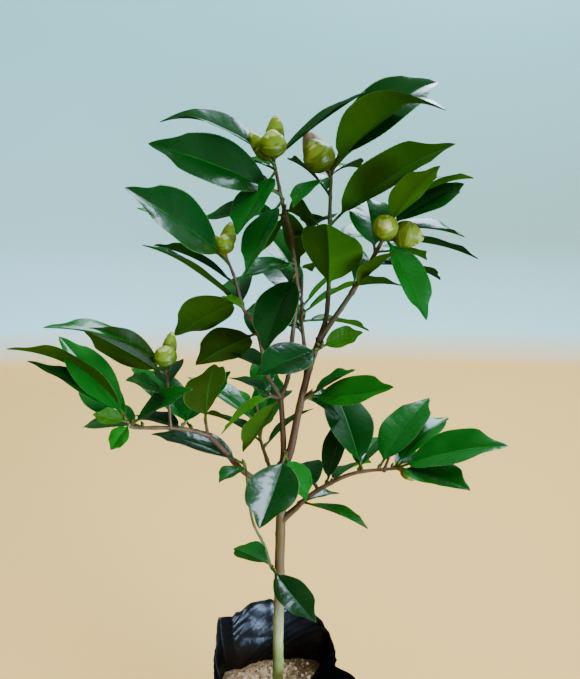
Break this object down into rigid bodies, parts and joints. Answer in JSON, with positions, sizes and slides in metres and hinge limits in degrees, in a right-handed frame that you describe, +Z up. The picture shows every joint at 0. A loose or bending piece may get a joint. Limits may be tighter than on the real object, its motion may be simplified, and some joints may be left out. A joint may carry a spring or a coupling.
{
  "type": "potted camellia",
  "caption": "Young camellia with glossy leaves and round buds on slender forked stems, growing in a soft black film bag of compost.",
  "frame": {"origin": "centre of the bag's flat underside", "axes": "+Z up along the trunk, +X to the right in the picture's view, -Y towards the viewer"},
  "size_m": [0.3397, 0.2015, 0.6547],
  "materials": {
    "film": "crumpled, with a soft sheen",
    "soil": "coarse, matt",
    "bark": "fine, matt, with paler and browner patches",
    "foliage": "glossy above, satin and paler below"
  },
  "bodies": {
    "root": {"bag": "film", "soil": "soil", "trunk": "bark", "leader": "bark", "left_stem": "bark", "middle_bough": "bark", "right_bough": "bark", "top_left_bough": "bark", "mid_left_bough": "bark", "low_left_bough": "bark", "low_right_bough": "bark", "back_bough": "bark", "low_back_bough": "bark", "crown_shoot": "foliage", "right_shoot": "foliage", "upper_left_shoot": "foliage", "mid_left_shoot": "foliage", "low_left_shoot": "foliage", "low_right_shoot": "foliage", "low_twig": "foliage", "fork_leaves": "foliage", "left_node_leaves": "foliage", "leader_top_leaves": "foliage", "leader_low_leaves": "foliage", "back_shoot": "foliage", "low_back_shoot": "foliage"}
  },
  "joints": []
}
